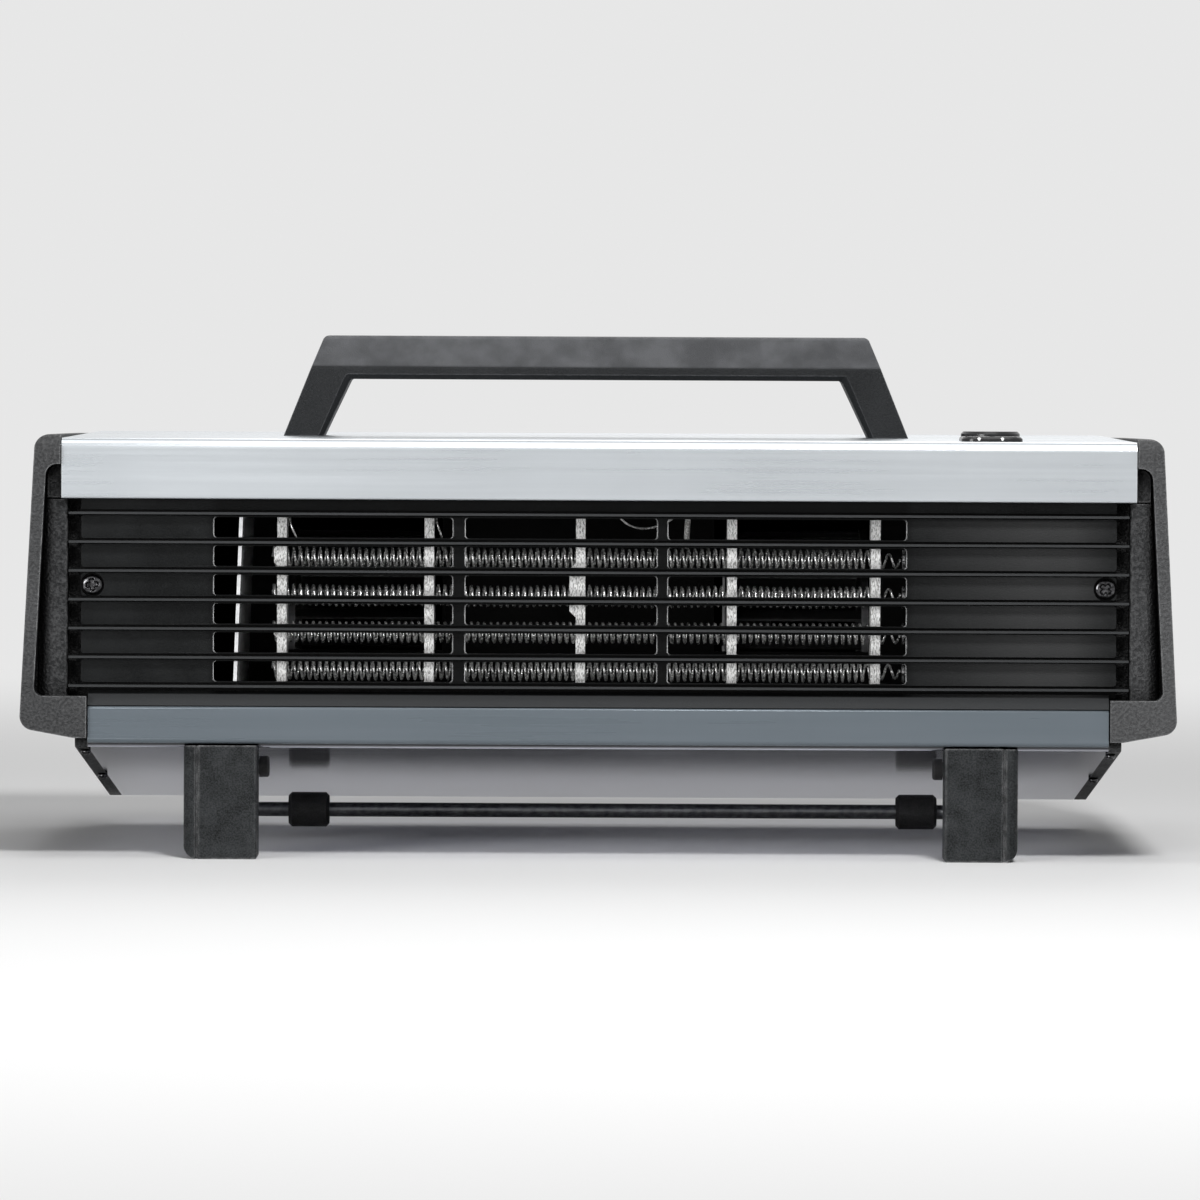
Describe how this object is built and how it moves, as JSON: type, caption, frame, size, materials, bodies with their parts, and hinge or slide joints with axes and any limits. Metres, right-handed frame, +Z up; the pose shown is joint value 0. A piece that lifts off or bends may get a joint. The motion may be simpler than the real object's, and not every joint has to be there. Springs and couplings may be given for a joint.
{
  "type": "fan heater",
  "caption": "Low, wide electric fan heater with a ribbed front grille over coiled elements, sheet cover, moulded end caps, carrying handle, front feet and a folding wire bail.",
  "frame": {"origin": "on the floor, under the middle of the heater's box", "axes": "+X to the right seen from the front, +Y to the rear, +Z up"},
  "size_m": [0.4012, 0.24, 0.182],
  "materials": {
    "cover_sheet": "fine horizontal brushing, satin",
    "trim_sheet": "satin blue-grey",
    "pan_sheet": "satin sheet",
    "grained_plastic": "grained black",
    "grille_plastic": "satin black",
    "handle_plastic": "fine-grained charcoal",
    "key_plastic": "semi-gloss black",
    "housing_plastic": "moulded",
    "rubber": "matt black",
    "bail_steel": "dark plated wire",
    "screw_steel": "blackened",
    "black_sheet": "black heat-proof coat",
    "zinc_sheet": "zinc plated",
    "wheel_sheet": "mill finish",
    "mica": "speckled pale mica board",
    "resistance_wire": "bright drawn wire",
    "laminated_steel": "stacked sheet",
    "copper_wire": "enamelled wire",
    "shaft_steel": "ground",
    "brass": "turned"
  },
  "bodies": {
    "case": {"top_cover": "cover_sheet", "lower_trim": "trim_sheet", "bottom_pan": "pan_sheet", "left_end_cap": "grained_plastic", "right_end_cap": "grained_plastic", "left_front_foot": "grained_plastic", "right_front_foot": "grained_plastic", "front_grille": "grille_plastic", "rear_grille": "grille_plastic", "handle": "handle_plastic", "switch_bezel": "key_plastic", "switch_body": "housing_plastic", "thermostat_body": "housing_plastic", "terminal_block": "housing_plastic", "rear_feet": "rubber", "cord_bush": "rubber", "grille_screws": "screw_steel", "rear_grille_screws": "screw_steel", "cover_screws": "screw_steel", "pan_edge_screws": "screw_steel", "handle_screws": "screw_steel", "front_foot_screws": "screw_steel", "rear_foot_screws": "screw_steel", "duct_top_plate": "black_sheet", "duct_bottom_plate": "black_sheet", "duct_bulkhead": "black_sheet", "left_blower_housing": "black_sheet", "right_blower_housing": "black_sheet", "duct_left_plate": "zinc_sheet", "duct_right_plate": "zinc_sheet", "element_rails": "zinc_sheet", "motor_cradle": "zinc_sheet", "left_motor_shield": "zinc_sheet", "right_motor_shield": "zinc_sheet", "mica_posts": "mica", "heating_coil_1": "resistance_wire", "heating_coil_2": "resistance_wire", "heating_coil_3": "resistance_wire", "heating_coil_4": "resistance_wire", "motor_stator": "laminated_steel", "motor_winding": "copper_wire", "element_terminals": "shaft_steel", "motor_bearings": "brass", "thermal_cutout": "brass"},
    "bail": {"bail_wire": "bail_steel", "bail_sleeves": "rubber", "bail_caps": "rubber"},
    "fan": {"motor_shaft": "shaft_steel", "motor_rotor": "laminated_steel", "left_fan_wheel": "wheel_sheet", "right_fan_wheel": "wheel_sheet"},
    "knob": {"thermostat_knob": "key_plastic", "thermostat_spindle": "shaft_steel"},
    "left_key": {"left_rocker": "key_plastic"},
    "right_key": {"right_rocker": "key_plastic"}
  },
  "joints": [
    {"name": "bail_fold", "type": "hinge", "parent": "case", "child": "bail", "pos_m": [0, -0.101, 0.03153], "axis": [-1, 0, 0], "range_deg": [0, 60]},
    {"name": "fan_spin", "type": "hinge", "parent": "case", "child": "fan", "pos_m": [0, 0.052, 0.072], "axis": [1, 0, 0], "continuous": true},
    {"name": "thermostat_turn", "type": "hinge", "parent": "case", "child": "knob", "pos_m": [0.1389, -0.04, 0.146], "axis": [0, 0, 1], "range_deg": [-270, 0]},
    {"name": "left_switch", "type": "hinge", "parent": "case", "child": "left_key", "pos_m": [0.1319, -0.095, 0.142], "axis": [1, 0, 0], "range_deg": [0, 14]},
    {"name": "right_switch", "type": "hinge", "parent": "case", "child": "right_key", "pos_m": [0.1413, -0.095, 0.142], "axis": [1, 0, 0], "range_deg": [0, 14]}
  ]
}
